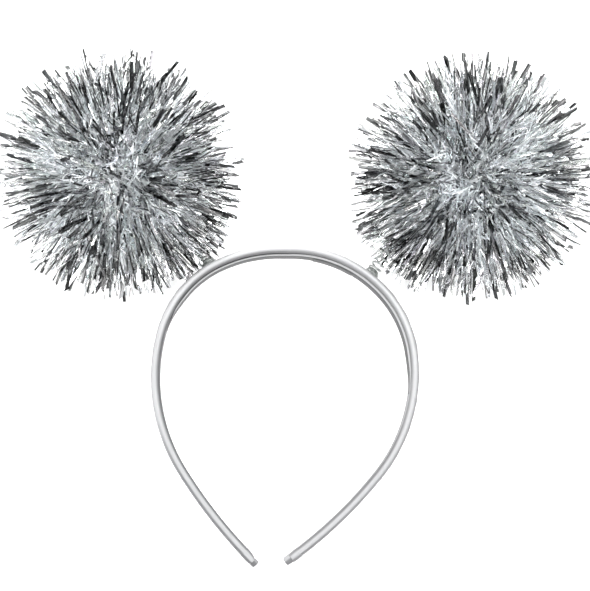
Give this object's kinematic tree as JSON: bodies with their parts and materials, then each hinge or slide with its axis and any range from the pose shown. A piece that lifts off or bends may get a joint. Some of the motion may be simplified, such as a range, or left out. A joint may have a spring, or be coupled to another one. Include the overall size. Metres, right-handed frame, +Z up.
{
  "type": "pompom headband",
  "caption": "Springy cloth-covered headband with a silver tinsel pompom on a coil spring at each side of the crown.",
  "frame": {"origin": "on the table, under the middle of the box of the whole part as it lies", "axes": "+X to the pompom on the picture's right, +Y from the band's tips towards the pompoms, +Z up"},
  "size_m": [0.282, 0.2332, 0.1096],
  "materials": {
    "cover_cloth": "silver satin cloth",
    "ribbon": "silver ribbed ribbon",
    "spring_wire": "drawn steel wire",
    "clear_glue": "clear hot glue",
    "tinsel_film": "mirror-bright silver metallised film strips"
  },
  "bodies": {
    "root": {"headband": "cover_cloth", "inner_ribbon": "ribbon", "ribbon_tab": "ribbon", "tip_wrap_left": "cover_cloth", "tip_wrap_right": "cover_cloth", "spring_left": "spring_wire", "spring_right": "spring_wire", "glue_left": "clear_glue", "glue_right": "clear_glue", "pompom_left": "tinsel_film", "pompom_right": "tinsel_film"}
  },
  "joints": []
}
